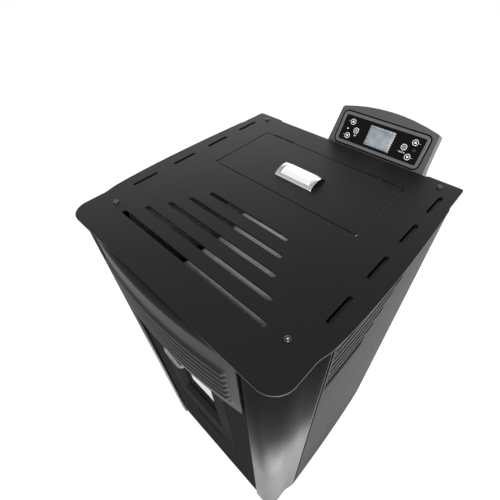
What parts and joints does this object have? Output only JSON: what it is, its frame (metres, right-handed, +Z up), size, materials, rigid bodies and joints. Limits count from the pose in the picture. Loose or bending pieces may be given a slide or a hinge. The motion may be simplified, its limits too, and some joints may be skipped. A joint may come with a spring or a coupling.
{
  "type": "pellet stove",
  "caption": "Free-standing black steel pellet stove with a slotted top plate, a flush hopper lid, a louvred bowed front, a glazed fire door and a tilted control panel.",
  "frame": {"origin": "on the floor, under the middle of the stove's bounding box", "axes": "+Z up, +X to the stove's right seen from its front, +Y to its back"},
  "size_m": [0.4566, 0.5304, 0.933],
  "materials": {
    "black_paint": "fine satin powder coat",
    "stove_paint": "matt heat-proof paint",
    "zinc_steel": "galvanised",
    "bright_steel": "satin",
    "chrome": "polished",
    "cast_iron": "sand cast",
    "fire_glass": "clear ceramic glass",
    "rope_seal": "braided rope",
    "grey_plastic": "fine grain",
    "rim_plastic": "satin",
    "black_gloss": "gloss",
    "display": "satin",
    "rubber": "moulded",
    "motor_black": "semi-gloss",
    "board_green": "laminate"
  },
  "bodies": {
    "casing": {"top_plate": "black_paint", "left_side_panel": "black_paint", "right_side_panel": "black_paint", "left_front_column": "black_paint", "right_front_column": "black_paint", "front_grille": "black_paint", "lower_front": "black_paint", "firebox": "stove_paint", "flue_spigot": "stove_paint", "rear_panel": "zinc_steel", "base_pan": "zinc_steel", "left_side_frame": "zinc_steel", "right_side_frame": "zinc_steel", "air_deck": "zinc_steel", "drawer_cradle": "zinc_steel", "hopper": "zinc_steel", "fan_housing": "zinc_steel", "exhaust_duct": "zinc_steel", "air_intake": "zinc_steel", "blower_housing": "zinc_steel", "plate_screw_left_front": "bright_steel", "plate_screw_left_rear": "bright_steel", "plate_screw_right_front": "bright_steel", "plate_screw_right_rear": "bright_steel", "door_pin_top": "bright_steel", "door_pin_bottom": "bright_steel", "igniter": "bright_steel", "hopper_grid": "bright_steel", "auger_tube": "bright_steel", "flame_baffle": "cast_iron", "panel_housing": "grey_plastic", "panel_bezel": "rim_plastic", "panel_fascia": "black_gloss", "panel_display": "display", "foot_left_front": "rubber", "foot_left_rear": "rubber", "foot_right_front": "rubber", "foot_right_rear": "rubber", "mains_inlet": "rubber", "auger_motor": "motor_black", "fan_motor": "motor_black", "control_board": "board_green"},
    "lid": {"hopper_lid": "black_paint", "lid_pull": "chrome"},
    "door": {"door_frame": "stove_paint", "door_glass": "fire_glass", "door_gasket": "rope_seal", "door_handle": "bright_steel"},
    "drawer": {"ash_drawer": "black_paint"},
    "pot": {"burn_pot": "cast_iron"},
    "auger": {"auger_screw": "bright_steel"},
    "exhaust_wheel": {"fan_impeller": "bright_steel"},
    "room_air_wheel": {"blower_wheel": "bright_steel"},
    "rocker": {"rocker_switch": "black_gloss"},
    "button_up_left": {"key_up_left": "black_gloss"},
    "button_mode": {"key_mode": "black_gloss"},
    "button_down_left": {"key_down_left": "black_gloss"},
    "button_up_right": {"key_up_right": "black_gloss"},
    "button_power": {"key_power": "black_gloss"},
    "button_down_right": {"key_down_right": "black_gloss"}
  },
  "joints": [
    {"name": "lid_hinge", "type": "hinge", "parent": "casing", "child": "lid", "pos_m": [0, 0.14525, 0.8664], "axis": [-1, 0, 0], "range_deg": [0, 80]},
    {"name": "door_hinge", "type": "hinge", "parent": "casing", "child": "door", "pos_m": [-0.092, -0.23575, 0.5155], "axis": [0, 0, -1], "range_deg": [0, 110]},
    {"name": "drawer_slide", "type": "slide", "parent": "casing", "child": "drawer", "axis": [0, -1, 0], "range_m": [0, 0.14]},
    {"name": "pot_lift", "type": "slide", "parent": "casing", "child": "pot", "axis": [0, 0, 1], "range_m": [0, 0.05]},
    {"name": "auger_spin", "type": "hinge", "parent": "casing", "child": "auger", "pos_m": [0, 0.12125, 0.45], "axis": [0, -0.7964, 0.6048], "continuous": true},
    {"name": "exhaust_fan_spin", "type": "hinge", "parent": "casing", "child": "exhaust_wheel", "pos_m": [0.06, 0.06925, 0.19], "axis": [1, 0, 0], "continuous": true},
    {"name": "blower_spin", "type": "hinge", "parent": "casing", "child": "room_air_wheel", "pos_m": [-0.085, 0.12925, 0.105], "axis": [1, 0, 0], "continuous": true},
    {"name": "rocker_tilt", "type": "hinge", "parent": "casing", "child": "rocker", "pos_m": [0.16, 0.19685, 0.113], "axis": [1, 0, 0], "range_deg": [0, 20]},
    {"name": "press_up_left", "type": "slide", "parent": "casing", "child": "button_up_left", "axis": [0, 0.866, -0.5], "range_m": [0, 0.0008], "stiffness_N_per_m": 400},
    {"name": "press_mode", "type": "slide", "parent": "casing", "child": "button_mode", "axis": [0, 0.866, -0.5], "range_m": [0, 0.0008], "stiffness_N_per_m": 400},
    {"name": "press_down_left", "type": "slide", "parent": "casing", "child": "button_down_left", "axis": [0, 0.866, -0.5], "range_m": [0, 0.0008], "stiffness_N_per_m": 400},
    {"name": "press_up_right", "type": "slide", "parent": "casing", "child": "button_up_right", "axis": [0, 0.866, -0.5], "range_m": [0, 0.0008], "stiffness_N_per_m": 400},
    {"name": "press_power", "type": "slide", "parent": "casing", "child": "button_power", "axis": [0, 0.866, -0.5], "range_m": [0, 0.0008], "stiffness_N_per_m": 400},
    {"name": "press_down_right", "type": "slide", "parent": "casing", "child": "button_down_right", "axis": [0, 0.866, -0.5], "range_m": [0, 0.0008], "stiffness_N_per_m": 400}
  ]
}
